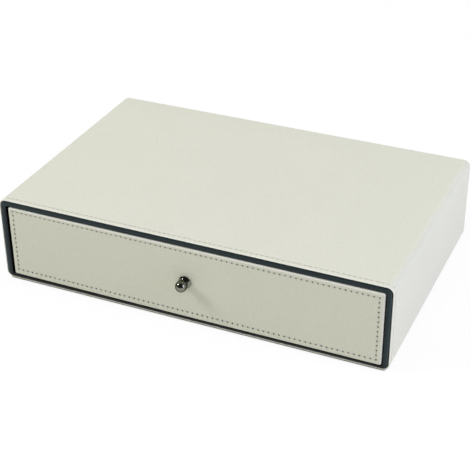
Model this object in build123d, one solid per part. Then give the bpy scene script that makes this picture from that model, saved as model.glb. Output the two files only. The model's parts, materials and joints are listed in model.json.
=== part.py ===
from build123d import *
import os

# A low leatherette drawer box. Millimetres, +Z up, front towards -Y.
# The origin is on the table, under the middle of the case.

# Case, over the leatherette
case_width = 310.0
case_depth = 200.0
case_height = 68.5
cover_thickness = 0.8
cover_setback = 0.2
cover_turn_in = 12.0
back_edge_radius = 1.5

# Boards and lining of the case
board_thickness = 4.0
bottom_board_thickness = 2.5
board_edge_radius = 4.7
lining_thickness = 0.5

# Navy strip over the boards' front edges
binding_thickness = 1.2
binding_edge_radius = 1.0
binding_return = 14.0
opening_corner_radius = 1.2

# Back panel and the card under it
back_panel_thickness = 0.8
back_panel_inset = 2.5
back_panel_corner_radius = 3.0
back_card_gap = 0.3

# Felt under the case
felt_thickness = 0.5
felt_side_inset = 5.5
felt_front_inset = 1.0
felt_back_inset = 3.0
felt_corner_radius = 3.0

# Drawer front
front_side_gap = 1.75
front_top_gap = 0.3
running_gap = 0.3
front_proud = 0.8
front_board_thickness = 4.0
front_cover_thickness = 0.8
front_core_radius = 0.5
front_edge_radius = 0.7

# The drawer rests this far right of the middle, within its side gaps
drawer_side_play = 1.05

# Drawer tray
tray_inset = 0.6
tray_back_gap = 2.0
tray_drop = 4.0
tray_board_thickness = 3.0
tray_bottom_thickness = 2.5
wrap_thickness = 0.5
tray_lining_thickness = 0.5
floor_pad_thickness = 1.5
floor_pad_gap = 0.3
floor_pad_corner_radius = 1.0

# Ball knob and its collar, bored a little off the drawer front's middle
knob_offset = -1.05
knob_lift = 0.35
ball_radius = 4.35
neck_length = 0.65
neck_wall = 0.7
collar_radius = 5.0
collar_taper = 1.5
collar_rim_height = 0.9
collar_slope_height = 1.3

# Machine screw and washer of the knob
screw_radius = 1.5
screw_clearance = 0.2
screw_thread_gap = 0.05
screw_engagement = 5.0
screw_head_rim = 1.3
screw_head_height = 1.9
screw_head_round = 0.7
screw_slot_width = 0.8
screw_slot_depth = 0.9
washer_radius = 3.6
washer_thickness = 0.5

# How far a cutting shape runs past what it cuts
overrun = 1.0

# Where the case's surfaces lie, from the outside in
case_half = case_width / 2
case_base = felt_thickness
case_top = felt_thickness + case_height
front_plane = -case_depth / 2
back_plane = case_depth / 2
cover_back = back_plane - back_panel_thickness
frame_half = case_half - cover_thickness
frame_low = case_base + cover_thickness
frame_high = case_top - cover_thickness
frame_front = front_plane + binding_thickness
frame_back = cover_back - cover_thickness
bore_half = frame_half - board_thickness
bore_low = frame_low + bottom_board_thickness
bore_high = frame_high - board_thickness
bore_back = frame_back - board_thickness
open_half = bore_half - lining_thickness
open_low = bore_low + lining_thickness
open_high = bore_high - lining_thickness
open_back = bore_back - lining_thickness
lining_start = frame_front + binding_return

# Where the drawer front's surfaces lie
front_half = open_half - front_side_gap
front_low = open_low + running_gap
front_high = open_high - front_top_gap
core_half = front_half - front_cover_thickness
core_low = front_low + front_cover_thickness
core_high = front_high - front_cover_thickness
panel_face = front_plane - front_proud
board_face = panel_face + front_cover_thickness
panel_back = board_face + front_board_thickness
cover_edge = panel_back + front_cover_thickness

# Where the tray's surfaces lie
tray_half = front_half - tray_inset
tray_top = front_high - tray_drop
tray_back = open_back - tray_back_gap
wall_half = tray_half - wrap_thickness
wall_top = tray_top - wrap_thickness
wall_back = tray_back - wrap_thickness
floor_under = front_low + wrap_thickness
floor_top = floor_under + tray_bottom_thickness
room_half = wall_half - tray_board_thickness
room_back = wall_back - tray_board_thickness
lined_half = room_half - tray_lining_thickness
lined_front = panel_back + tray_lining_thickness
lined_back = room_back - tray_lining_thickness

# Heights on the knob, measured forwards from the leatherette
knob_z = (case_base + case_top) / 2 + knob_lift
collar_thickness = collar_rim_height + collar_slope_height
collar_face_radius = collar_radius - collar_taper
neck_radius = screw_radius + neck_wall
neck_top = collar_thickness + neck_length
ball_height = neck_top + (ball_radius**2 - neck_radius**2) ** 0.5
screw_hole_radius = screw_radius + screw_clearance
screw_reach = collar_thickness + screw_engagement
screw_seat = lined_front + washer_thickness


def block(x0, x1, y0, y1, z0, z1):
    """A plain block between two corners."""
    return Pos((x0 + x1) / 2, (y0 + y1) / 2, (z0 + z1) / 2) * Box(x1 - x0, y1 - y0, z1 - z0)


def rounded_bar(half, z0, z1, radius, y0, y1):
    """A bar along Y whose section has four rounded corners."""
    bar = extrude(RectangleRounded(2 * half, z1 - z0, radius), amount=y1 - y0)
    return Pos(0, y1, (z0 + z1) / 2) * Rot(90, 0, 0) * bar


def rounded_sheet(half, y0, y1, radius, z0, z1):
    """A level sheet with four rounded corners."""
    sheet = extrude(RectangleRounded(2 * half, y1 - y0, radius), amount=z1 - z0)
    return Pos(0, (y0 + y1) / 2, z0) * sheet


def rod(radius, y0, y1):
    """A round rod or disc on the knob's axis, between two planes."""
    return Pos(knob_offset, (y0 + y1) / 2, knob_z) * Rot(90, 0, 0) * Cylinder(radius, y1 - y0)


def turned(outline):
    """A turned piece on the knob's axis, from its (radius, height) outline."""
    piece = revolve(make_face(Plane.XZ * outline), axis=Axis.Z)
    return Pos(knob_offset, panel_face, knob_z) * Rot(90, 0, 0) * piece


def boards_outline(y0, y1):
    """The glued boards as one bar, with its long edges rounded over."""
    return rounded_bar(frame_half, frame_low, frame_high, board_edge_radius, y0, y1)


def case_boards():
    """Top, bottom and two sides in a butted sleeve, and a back set into it."""
    across = (-frame_half, frame_half, frame_front, frame_back)
    blanks = {
        "case_top_board": block(*across, bore_high, frame_high),
        "case_bottom_board": block(*across, frame_low, bore_low),
        "case_left_board": block(-frame_half, -bore_half, frame_front, frame_back, bore_low, bore_high),
        "case_right_board": block(bore_half, frame_half, frame_front, frame_back, bore_low, bore_high),
        "case_back_board": block(-bore_half, bore_half, bore_back, frame_back, bore_low, bore_high),
    }
    outline = boards_outline(frame_front, frame_back)
    return {name: outline & blank for name, blank in blanks.items()}


def case_cover():
    """Leatherette sleeve over the boards, turned in over their back edges."""
    skin = rounded_bar(case_half, case_base, case_top, board_edge_radius + cover_thickness,
                       front_plane + cover_setback, cover_back)
    rear_edges = skin.edges().group_by(Axis.Y)[-1]
    skin = fillet(rear_edges, min(back_edge_radius, 1.9 * cover_thickness))
    window = block(-case_half + cover_turn_in, case_half - cover_turn_in, frame_front, back_plane,
                   case_base + cover_turn_in, case_top - cover_turn_in)
    return skin - boards_outline(front_plane, frame_back) - window


def back_card():
    """Card that fills the window left by the turned-in leatherette."""
    inset = cover_turn_in + back_card_gap
    return block(-case_half + inset, case_half - inset, frame_back, cover_back,
                 case_base + inset, case_top - inset)


def case_back_cover():
    """Leatherette panel glued over the card and the turned-in edges."""
    inset = back_panel_inset
    return rounded_bar(case_half - inset, case_base + inset, case_top - inset,
                       back_panel_corner_radius, cover_back, back_plane)


def front_edge_binding():
    """Navy strip: a rounded face over the boards' front edges, and a leg turned into the opening."""
    leg = block(-bore_half, bore_half, frame_front, lining_start, bore_low, bore_high)
    opening = rounded_bar(open_half, open_low, open_high, opening_corner_radius,
                          front_plane - overrun, lining_start + overrun)
    strip = boards_outline(front_plane, frame_front) + leg - opening
    face_edges = strip.edges().group_by(Axis.Y)[0]
    return fillet(face_edges, min(binding_edge_radius, 0.9 * binding_thickness))


def case_lining():
    """Lining sleeve behind the navy strip, up to the back board."""
    outside = block(-bore_half, bore_half, lining_start, bore_back, bore_low, bore_high)
    inside = block(-open_half, open_half, lining_start - overrun, bore_back + overrun, open_low, open_high)
    return outside - inside


def case_back_lining():
    """Lining sheet on the back board's inner face."""
    return block(-open_half, open_half, open_back, bore_back, open_low, open_high)


def base_felt():
    """Felt sheet that the case stands on."""
    return rounded_sheet(case_half - felt_side_inset, front_plane + felt_front_inset,
                         back_plane - felt_back_inset, felt_corner_radius, 0, felt_thickness)


def front_core(y0, y1):
    """The drawer front's board as a bar with rounded corners."""
    return rounded_bar(core_half, core_low, core_high, front_core_radius, y0, y1)


def drawer_front_board():
    """Board inside the drawer front, bored for the knob's screw."""
    bore = rod(screw_hole_radius, board_face - overrun, panel_back + overrun)
    return front_core(board_face, panel_back) - bore


def drawer_front_cover():
    """Leatherette over the drawer front: its face, four turned edges and a border behind."""
    skin = rounded_bar(front_half, front_low, front_high, front_core_radius + front_cover_thickness,
                       panel_face, cover_edge)
    face_edges = skin.edges().group_by(Axis.Y)[0]
    skin = fillet(face_edges, min(front_edge_radius, 0.95 * front_cover_thickness))
    tray = block(-tray_half, tray_half, panel_back, cover_edge + overrun, front_low - overrun, tray_top)
    bore = rod(screw_hole_radius, panel_face - overrun, board_face)
    return skin - front_core(board_face, panel_back) - tray - bore


def tray_boards():
    """Bottom, two sides and a back, butted behind the drawer front."""
    return {
        "drawer_bottom_board": block(-wall_half, wall_half, panel_back, wall_back, floor_under, floor_top),
        "drawer_left_board": block(-wall_half, -room_half, panel_back, wall_back, floor_top, wall_top),
        "drawer_right_board": block(room_half, wall_half, panel_back, wall_back, floor_top, wall_top),
        "drawer_back_board": block(-room_half, room_half, room_back, wall_back, floor_top, wall_top),
    }


def drawer_wrap():
    """Dark wrap on the tray's outer sides, turned over the tops of its walls."""
    outside = block(-tray_half, tray_half, panel_back, tray_back, front_low, tray_top)
    walls = block(-wall_half, wall_half, panel_back - overrun, wall_back, front_low - overrun, wall_top)
    room = block(-lined_half, lined_half, panel_back - overrun, lined_back, front_low, tray_top + overrun)
    return outside - walls - room


def drawer_base_lining():
    """Thin sheet under the tray, which it slides on."""
    return block(-wall_half, wall_half, panel_back, wall_back, front_low, floor_under)


def drawer_wall_lining():
    """Lining on the tray's four inner walls, a little higher on the drawer front."""
    outside = block(-room_half, room_half, panel_back, room_back, floor_top, wall_top)
    inside = block(-lined_half, lined_half, lined_front, lined_back, floor_top - overrun, wall_top + overrun)
    head = block(-lined_half, lined_half, panel_back, lined_front, wall_top, tray_top)
    return outside - inside + head - rod(screw_hole_radius, panel_back - overrun, lined_front + overrun)


def drawer_floor_pad():
    """Padded sheet on the tray's floor."""
    return rounded_sheet(lined_half - floor_pad_gap, lined_front + floor_pad_gap, lined_back - floor_pad_gap,
                         floor_pad_corner_radius, floor_top, floor_top + floor_pad_thickness)


def knob_ball():
    """Ball on a short neck, with a blind hole behind for the screw."""
    neck = (neck_radius, neck_top)
    crown = (0, ball_height + ball_radius)
    outline = Polyline((0, collar_thickness), (neck_radius, collar_thickness), neck)
    outline += ThreePointArc(neck, (ball_radius, ball_height), crown)
    outline += Line(crown, (0, collar_thickness))
    depth = screw_reach + screw_thread_gap
    return turned(outline) - rod(screw_radius + screw_thread_gap, panel_face - depth, panel_face)


def knob_base():
    """Tapered collar that seats the knob on the leatherette."""
    outline = Polyline((0, 0), (collar_radius, 0), (collar_radius, collar_rim_height),
                       (collar_face_radius, collar_thickness), (0, collar_thickness), (0, 0))
    bore = rod(screw_hole_radius, panel_face - collar_thickness - overrun, panel_face + overrun)
    return turned(outline) - bore


def knob_washer():
    """Flat washer between the screw's head and the tray's lining."""
    bore = rod(screw_hole_radius, lined_front - overrun, screw_seat + overrun)
    return rod(washer_radius, lined_front, screw_seat) - bore


def knob_screw():
    """Slotted pan-head screw, from inside the drawer into the knob."""
    top = screw_seat + screw_head_height
    head_radius = screw_radius + screw_head_rim
    head = rod(head_radius, screw_seat, top)
    head = fillet(head.edges().group_by(Axis.Y)[-1], min(screw_head_round, 0.8 * screw_head_rim))
    slot = block(knob_offset - head_radius, knob_offset + head_radius, top - screw_slot_depth, top + overrun,
                 knob_z - screw_slot_width / 2, knob_z + screw_slot_width / 2)
    return rod(screw_radius, panel_face - screw_reach, screw_seat) + head - slot


def all_parts():
    """Every piece under its name, the drawer's pieces moved sideways by its play."""
    case_makers = [case_cover, back_card, case_back_cover, front_edge_binding, case_lining,
                   case_back_lining, base_felt]
    drawer_makers = [drawer_front_board, drawer_front_cover, drawer_wrap, drawer_base_lining,
                     drawer_wall_lining, drawer_floor_pad, knob_ball, knob_base, knob_washer, knob_screw]
    case = {**case_boards(), **{make.__name__: make() for make in case_makers}}
    drawer = {**tray_boards(), **{make.__name__: make() for make in drawer_makers}}
    return {**case, **{name: Pos(drawer_side_play, 0, 0) * piece for name, piece in drawer.items()}}


os.makedirs("parts", exist_ok=True)
for name, shape in all_parts().items():
    export_step(shape, f"parts/{name}.step")
    box = shape.bounding_box()
    print(name, round(shape.volume, 1), [round(v, 2) for v in (*box.min, *box.max)])
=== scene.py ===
# %% [markdown]
# # A leatherette drawer box, dressed
#
# The object is a low box covered in cream leatherette, with a navy strip round its open front and one
# drawer that fills the opening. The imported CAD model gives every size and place. This notebook gives the
# surfaces: coverings with soft edges, real rows of stitching, a turned and polished knob, and a light
# studio round them.

# %% Load the frame
import json
import math

import bmesh
import bpy
import numpy as np
from mathutils import Matrix, Vector


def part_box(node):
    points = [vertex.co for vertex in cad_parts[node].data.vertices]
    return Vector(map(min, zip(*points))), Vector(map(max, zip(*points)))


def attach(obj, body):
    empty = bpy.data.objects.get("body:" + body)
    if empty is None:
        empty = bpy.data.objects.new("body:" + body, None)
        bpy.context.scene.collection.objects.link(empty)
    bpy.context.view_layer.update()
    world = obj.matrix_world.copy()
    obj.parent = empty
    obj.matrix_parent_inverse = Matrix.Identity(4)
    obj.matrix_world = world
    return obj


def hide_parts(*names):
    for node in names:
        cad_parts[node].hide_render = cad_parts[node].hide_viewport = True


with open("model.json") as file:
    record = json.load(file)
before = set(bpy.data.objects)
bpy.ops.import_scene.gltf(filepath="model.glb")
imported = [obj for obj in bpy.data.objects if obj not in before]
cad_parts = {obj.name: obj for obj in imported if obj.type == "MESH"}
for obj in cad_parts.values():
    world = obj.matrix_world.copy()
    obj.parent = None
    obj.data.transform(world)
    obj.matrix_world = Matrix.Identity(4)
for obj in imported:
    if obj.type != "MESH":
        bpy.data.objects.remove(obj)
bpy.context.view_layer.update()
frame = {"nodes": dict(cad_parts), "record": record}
nodes = frame["nodes"]

# %% [markdown]
# Every size below is in millimetres, because leather goods are made in them. Nothing is typed twice: a
# piece that dresses a CAD node reads that node's box, and only what the CAD leaves out, such as the pitch
# of the stitches or the radius of a turned edge, is a new number here.

# %% Sizes read from the frame
MM = 0.001


class Box:
    """The sides of a CAD node's box, its middle and its half width, in millimetres."""

    def __init__(self, node):
        low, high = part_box(node)
        self.left, self.front, self.low = (value / MM for value in low)
        self.right, self.back, self.high = (value / MM for value in high)
        self.middle = (self.left + self.right) / 2
        self.half = (self.right - self.left) / 2


cover = Box("case_cover")
panel = Box("drawer_front_cover")
print("case", round(2 * cover.half, 1), "mm wide, drawer front", round(2 * panel.half, 1), "by",
      round(panel.high - panel.low, 1), "mm")

# %% [markdown]
# ## Colours
#
# Hex colours are written as a screen shows them (sRGB), but a shader works in linear light. A colour that
# is taken for the wrong one of the two comes out too pale or too dark, so one function converts them all.

# %% Colours
def linear(hex_colour):
    """sRGB hex to linear RGBA: each channel c becomes ((c + 0.055) / 1.055) to the power 2.4."""
    channels = [int(hex_colour[i:i + 2], 16) / 255 for i in (1, 3, 5)]
    return [c / 12.92 if c <= 0.04045 else ((c + 0.055) / 1.055) ** 2.4 for c in channels] + [1.0]


WHITE = linear("#FFFFFF")
print("the grey #808080 in linear light:", round(linear("#808080")[0], 3))

# %% [markdown]
# ## Nodes and materials
#
# A material is a tree of shader nodes. One small function adds a node with its settings and its links, which
# keeps every material short enough to read in one go. Patterns read object coordinates, because those stay
# with a piece when it moves. Nothing real has the same colour all over, so a slow noise mottles each finish.

# %% Node helpers
MIX_A, MIX_B = 6, 7
MOTTLE_LOW, MOTTLE_HIGH = 0.35, 0.65


def add(tree, kind, inputs=None, **settings):
    """Adds a node. Settings are its properties; inputs are plain values or the sockets they come from."""
    node = tree.nodes.new(kind)
    for key, value in settings.items():
        setattr(node, key, value)
    for socket, value in (inputs or {}).items():
        if isinstance(value, bpy.types.NodeSocket):
            tree.links.new(value, node.inputs[socket])
        else:
            node.inputs[socket].default_value = value
    return node


def new_material(name, **shader_values):
    """A material with a Principled shader, and the object coordinates that its patterns read."""
    material = bpy.data.materials.new(name)
    material.use_nodes = True
    tree = material.node_tree
    shader = tree.nodes["Principled BSDF"]
    for socket, value in shader_values.items():
        shader.inputs[socket.replace("_", " ")].default_value = value
    place = add(tree, "ShaderNodeTexCoord").outputs["Object"]
    return material, tree, shader, place


def mottled(tree, place, size_mm, colours, detail=3.0):
    """A colour that wanders between the given ones over patches of about size_mm.

    Noise seldom leaves MOTTLE_LOW to MOTTLE_HIGH, so the two colours stand at those values.
    """
    noise = add(tree, "ShaderNodeTexNoise", {"Vector": place, "Scale": 1 / (size_mm * MM), "Detail": detail})
    ramp = add(tree, "ShaderNodeValToRGB", {"Fac": noise.outputs["Fac"]})
    ends = ramp.color_ramp.elements
    ends[0].position, ends[1].position = MOTTLE_LOW, MOTTLE_HIGH
    ends[0].color, ends[1].color = linear(colours[0]), linear(colours[1])
    return ramp.outputs["Color"]


print("a Mix node for colours takes them at sockets", MIX_A, "and", MIX_B)

# %% [markdown]
# ## Leatherette
#
# Leatherette is a woven backing with a coat of soft PVC, embossed by a roller with the grain of fine calf:
# flat pebbles about 0.7 mm across with shallow creases between them. It could be one noise bump, but noise
# has no creases, so Voronoi cells draw them: near a cell's edge the surface dips, and its colour is painted
# a shade deeper there, as painted shade in the crease. The cells' coordinates are first bent by a noise,
# because real creases aren't straight. The pebbles are drawn at 0.9 mm, a little coarse, so that a close
# view still shows them.
#
# Two attributes of a piece's own mesh paint the rest. One is a painted highlight: a paler colour laid on
# folded edges where the light catches them. The other is painted shade: near black in the needle holes, in
# the mouth of the opening, under the strip, in its crease and along the back panel's seam.

# %% Leatherette
PEBBLE_MM = 0.9
CREASE_SHARE = 0.14
CREASE_BEND = 0.9
GRAIN_MM = 0.25
GRAIN_SHARE = 0.5
COLOUR_PATCH_MM = 45.0
SHINE_PATCH_MM = 6.0
SHINE_SPREAD = 0.05


def leatherette(name, colours, crease_colour, rubbed_colour, shade_colour, roughness, crease_mm, gloss):
    """Embossed PVC: creases dip and take painted shade, folded edges a painted highlight, holes painted
    shade.
    """
    material, tree, shader, place = new_material(name, Specular_IOR_Level=gloss)
    bend = add(tree, "ShaderNodeTexNoise", {"Vector": place, "Scale": 1 / (PEBBLE_MM * MM)})
    bent = add(tree, "ShaderNodeVectorMath", {0: bend.outputs["Color"], 1: (CREASE_BEND * MM,) * 3,
                                              2: place}, operation="MULTIPLY_ADD")
    edge = add(tree, "ShaderNodeTexVoronoi", {"Vector": bent.outputs[0], "Scale": 1 / (PEBBLE_MM * MM)},
               feature="DISTANCE_TO_EDGE")
    pebble = add(tree, "ShaderNodeMapRange", {"Value": edge.outputs["Distance"], "From Max": CREASE_SHARE},
                 interpolation_type="SMOOTHSTEP")
    grain = add(tree, "ShaderNodeTexNoise", {"Vector": place, "Scale": 1 / (GRAIN_MM * MM), "Detail": 2.0})
    relief = add(tree, "ShaderNodeMath", {0: grain.outputs["Fac"], 1: GRAIN_SHARE,
                                          2: pebble.outputs["Result"]}, operation="MULTIPLY_ADD")
    bump = add(tree, "ShaderNodeBump", {"Height": relief.outputs[0], "Distance": crease_mm * MM})
    tree.links.new(bump.outputs["Normal"], shader.inputs["Normal"])

    pebble_colour = mottled(tree, place, COLOUR_PATCH_MM, colours)
    # Painted shade: the coat darkens towards crease_colour along the creases.
    coat = add(tree, "ShaderNodeMix", {"Factor": pebble.outputs["Result"], MIX_A: linear(crease_colour),
                                       MIX_B: pebble_colour}, data_type="RGBA")
    # Painted highlight: a mesh attribute mixes in a paler colour on folded edges.
    rubbed = add(tree, "ShaderNodeAttribute", attribute_name="rubbed").outputs["Fac"]
    highlighted = add(tree, "ShaderNodeMix", {"Factor": rubbed, MIX_A: coat.outputs[2],
                                       MIX_B: linear(rubbed_colour)}, data_type="RGBA")
    # Painted shade: a mesh attribute mixes in a near-black colour in holes and dark edges.
    needle = add(tree, "ShaderNodeAttribute", attribute_name="needle").outputs["Fac"]
    colour = add(tree, "ShaderNodeMix", {"Factor": needle, MIX_A: highlighted.outputs[2],
                                         MIX_B: linear(shade_colour)}, data_type="RGBA")
    tree.links.new(colour.outputs[2], shader.inputs["Base Color"])

    wander = add(tree, "ShaderNodeTexNoise", {"Vector": place, "Scale": 1 / (SHINE_PATCH_MM * MM),
                                              "Detail": 2.0})
    rough = add(tree, "ShaderNodeMapRange", {"Value": wander.outputs["Fac"],
                                             "To Min": roughness - SHINE_SPREAD,
                                             "To Max": roughness + SHINE_SPREAD})
    tree.links.new(rough.outputs["Result"], shader.inputs["Roughness"])
    return material


print("leatherette pebbles of", PEBBLE_MM, "mm")

# %% [markdown]
# The object wears two leatherettes off the same roller, so one function makes both. They differ in colour,
# in the depth of their creases and in their polish.

# %% Cream and navy
# In each call, the third colour is the creases' painted shade, the fourth the painted highlight and the
# fifth the painted shade of holes and dark edges.
# Cream PVC reads as calm and chalky: lamps spread over it, and only its folds catch a light line.
cream_leatherette = leatherette("cream_leatherette", ("#DCDDCA", "#DEDFCC"), "#D0D1BD", "#F6F6EC",
                                "#1E1A12", 0.5, 0.02, 0.5)
# Navy PVC is smoother, with a waxy bloom: nearly black in shade, blue-grey along a lit shoulder.
navy_leatherette = leatherette("navy_leatherette", ("#15272A", "#192B2F"), "#112023", "#46565E",
                               "#050506", 0.42, 0.025, 0.27)
print("leatherettes:", cream_leatherette.name, "and", navy_leatherette.name)

# %% [markdown]
# ## Suede-like lining, felt, boards and card
#
# The drawer slides on a flocked lining. Flock is short fibre standing on glue: it swallows light when seen
# from above and glows at its edges, which the shader's sheen does. Felt is the same idea with longer, matted
# fibre. Fibreboard and card only show their edges inside, but get their own speckle.

# %% Lining, felt, boards and card
def fibrous(name, colours, patch_mm, fibre_mm, depth_mm, roughness, sheen=0.0):
    """Matted fibre: mottled colour and a fine noise bump, with sheen where the fibre stands up."""
    material, tree, shader, place = new_material(name, Roughness=roughness, Sheen_Weight=sheen)
    tree.links.new(mottled(tree, place, patch_mm, colours, 6.0), shader.inputs["Base Color"])
    fibre = add(tree, "ShaderNodeTexNoise", {"Vector": place, "Scale": 1 / (fibre_mm * MM), "Detail": 4.0,
                                             "Distortion": 0.6})
    bump = add(tree, "ShaderNodeBump", {"Height": fibre.outputs["Fac"], "Distance": depth_mm * MM})
    tree.links.new(bump.outputs["Normal"], shader.inputs["Normal"])
    return material


# Flock: velvety and dark, with a faint glow where the eye skims over it.
navy_suede = fibrous("navy_suede", ("#161C28", "#1E2533"), 5.0, 0.3, 0.08, 0.95, 0.35)
# Pressed felt: dull charcoal, with no shine at all.
pressed_felt = fibrous("pressed_felt", ("#2E2E30", "#3A3A3C"), 3.0, 0.5, 0.15, 0.95, 0.15)
# Fibreboard: pressed wood dust, a brown speckle with a sawn, dry face.
fibreboard = fibrous("fibreboard", ("#8E7350", "#A5875F"), 0.8, 0.3, 0.05, 0.85)
# Grey card: pulp of mixed paper, finer and cooler than the board.
grey_card = fibrous("grey_card", ("#8A887F", "#9B998F"), 1.2, 0.3, 0.03, 0.9)
print("fibrous finishes:", [cloth.name for cloth in (navy_suede, pressed_felt, fibreboard, grey_card)])

# %% [markdown]
# ## Plated metal
#
# The knob is turned brass with a black nickel plate: a dark mirror that gives back about a fifth of the
# light, and less near its outline, which an edge tint draws. Turning leaves rings round the axis, 0.05 mm
# apart: far finer than a pixel, so they only soften the reflection along the radius. The screw and washer
# are zinc plated, duller and bluer. A wave texture at a scale of 1 draws rings 2 pi / 20 apart.

# %% Black nickel and zinc
WAVE_RINGS = 2 * math.pi / 20
RING_DEPTH_MM = 0.002
RING_STRENGTH = 0.25
SMEAR_MM = 2.0
SMEAR_LOW, SMEAR_HIGH = 0.8, 1.3

ball_box = Box("knob_ball")
knob_z = (ball_box.low + ball_box.high) / 2


def plated(name, colour, edge_colour, roughness, ring_mm):
    """A plated metal with faint turning rings, ring_mm apart: a wave about the knob's axis, as bump."""
    material, tree, shader, place = new_material(name, Metallic=1.0, Base_Color=linear(colour),
                                                 Specular_Tint=linear(edge_colour))
    centre = add(tree, "ShaderNodeMapping", {"Vector": place,
                                             "Location": (-ball_box.middle * MM, 0, -knob_z * MM)})
    rings = add(tree, "ShaderNodeTexWave", {"Vector": centre.outputs["Vector"],
                                            "Scale": WAVE_RINGS / (ring_mm * MM), "Distortion": 0.4},
                wave_type="RINGS", rings_direction="Y")
    bump = add(tree, "ShaderNodeBump", {"Height": rings.outputs["Fac"], "Distance": RING_DEPTH_MM * MM,
                                        "Strength": RING_STRENGTH})
    tree.links.new(bump.outputs["Normal"], shader.inputs["Normal"])
    smear = add(tree, "ShaderNodeTexNoise", {"Vector": place, "Scale": 1 / (SMEAR_MM * MM)})
    rough = add(tree, "ShaderNodeMapRange", {"Value": smear.outputs["Fac"],
                                             "To Min": roughness * SMEAR_LOW,
                                             "To Max": roughness * SMEAR_HIGH})
    tree.links.new(rough.outputs["Result"], shader.inputs["Roughness"])
    return material


# Black nickel: a mirror in smoke, where white becomes grey and dark stays black.
black_nickel = plated("black_nickel", "#7F8073", "#1C1C18", 0.07, 0.05)
# Zinc on steel: pale and slightly blue, blurred by the pickling under it.
zinc_steel = plated("zinc_plated_steel", "#B4B6B8", "#E0E2E4", 0.3, 0.08)
print("turning rings centred", round(knob_z, 2), "mm up")

# %% [markdown]
# ## Thread
#
# The thread is spun polyester, whose plies slant across it. Real plies come about three to a millimetre;
# these are drawn twice as coarse, so that a close view shows them. A wave texture at a scale of 1 draws
# diagonal bands 2 pi / 10 apart along an axis.

# %% Spun thread
WAVE_SLANTS = 2 * math.pi / 10
PLY_MM = 0.75
PLY_DEPTH_MM = 0.05
THREAD_PATCH_MM = 1.5


def spun_thread(name, colours):
    """Polyester sewing thread: slanting plies, PLY_MM apart along it, as a wave bump."""
    material, tree, shader, place = new_material(name, Roughness=0.6, Sheen_Weight=0.2)
    tree.links.new(mottled(tree, place, THREAD_PATCH_MM, colours), shader.inputs["Base Color"])
    plies = add(tree, "ShaderNodeTexWave", {"Vector": place, "Scale": WAVE_SLANTS / (PLY_MM * MM),
                                            "Distortion": 0.3}, bands_direction="DIAGONAL")
    bump = add(tree, "ShaderNodeBump", {"Height": plies.outputs["Fac"], "Distance": PLY_DEPTH_MM * MM})
    tree.links.new(bump.outputs["Normal"], shader.inputs["Normal"])
    return material


# Cream thread: a shade greyer than the leatherette, with a silky side.
cream_thread = spun_thread("cream_thread", ("#CDCBBB", "#D6D4C6"))
print("thread plies", PLY_MM, "mm apart")

# %% [markdown]
# ## Rounded outlines
#
# Nearly everything here is a rounded rectangle carried through space: the sleeve, the navy strip, the drawer
# front, the felt. One function works out many such outlines at once. Each outline has the same number of
# points in the same order, so any two of them can be joined by quads, and a list of sizes is a shape.

# %% Rounded outlines
CORNERS = np.array([[1, -1], [1, 1], [-1, 1], [-1, -1]])
HAIR = 0.001
TIGHT_RADIUS = 0.3


def even(steps):
    """Shares of a run, from 0 to 1 in equal steps."""
    return np.arange(steps + 1) / steps


def outline_plan(across, up, bend, on_sides=even, on_bends=even):
    """How each outline point is worked out from the four corners, for outlines of any size.

    The corner points are four quarter circles of bend steps. A point of a quarter circle is its own
    neighbour; a point of a side is a share of the way from one quarter circle's end to the next one's start.
    """
    first, second, share = [], [], []
    for corner, steps in enumerate((up, across, up, across)):
        start = corner * (bend + 1)
        own = np.arange(start, start + bend + 1)
        after = (start + bend + 1) % (4 * (bend + 1))
        first += [own, np.full(steps - 1, start + bend)]
        second += [own, np.full(steps - 1, after)]
        share += [np.zeros(bend + 1), on_sides(steps)[1:-1]]
    angle = (np.arange(4)[:, None] - 1 + on_bends(bend)) * np.pi / 2
    toward = np.stack([np.cos(angle), np.sin(angle)], axis=-1)
    return toward, np.concatenate(first), np.concatenate(second), np.concatenate(share)[None, :, None]


def outlines(half, low, high, radius, plan):
    """Points and outward directions of many rounded rectangles.

    half, low, high and radius are one value per outline. A corner point is the corner's centre plus radius
    times (cosine, sine) of its angle. Points run anticlockwise from the low right corner.
    """
    toward, first, second, share = plan
    half, low, high, radius = (np.asarray(v, float)[:, None, None] for v in (half, low, high, radius))
    centre_a = CORNERS[None, :, :1] * (half - radius)
    centre_b = np.where(CORNERS[None, :, 1:] < 0, low + radius, high - radius)
    corner_points = np.stack([centre_a + radius * toward[None, :, :, 0],
                              centre_b + radius * toward[None, :, :, 1]], axis=-1).reshape(len(half), -1, 2)
    points = corner_points[:, first] * (1 - share) + corner_points[:, second] * share
    return points, toward.reshape(-1, 2)[first]


square, _ = outlines([5], [0], [10], [1], outline_plan(4, 4, 2))
print("an outline with 4 steps a side and 2 a corner has", square.shape[1], "points")

# %% [markdown]
# An outline is flat. A box's section stands upright, and a sheet's lies level, so two helpers set outlines
# into space. The round parts of every section are arcs.

# %% Upright, level and arc
def upright(points, y, middle):
    """Outline points (across, up) set into the plane or planes y, across counted from the middle."""
    return np.stack([points[..., 0] + middle, np.broadcast_to(y, points.shape[:2]), points[..., 1]], axis=-1)


def level(points, z, middle):
    """Outline points (across, along) laid at the height or heights z, across counted from the middle."""
    return np.stack([points[..., 0] + middle, points[..., 1], np.broadcast_to(z, points.shape[:2])], axis=-1)


def arc(start_degrees, end_degrees, steps):
    """Cosines and sines from one angle to another."""
    angle = np.radians(np.linspace(start_degrees, end_degrees, steps + 1))
    return np.cos(angle), np.sin(angle)


print("a quarter circle in 2 steps has", len(arc(0, 90, 2)[0]), "points")

# %% [markdown]
# ## From a grid to a piece
#
# A grid of points is a surface once its neighbours are joined by quads. At a pole, or along the middle line
# of a sheet, whole rows of points fall together, and merging them closes the surface.

# %% Meshes
MERGE_MM = 4 * HAIR


def as_quads(*corners):
    """Four arrays of point numbers, one for each corner of a quad, as one list of quads."""
    return np.stack(corners, axis=-1).reshape(-1, 4)


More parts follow.
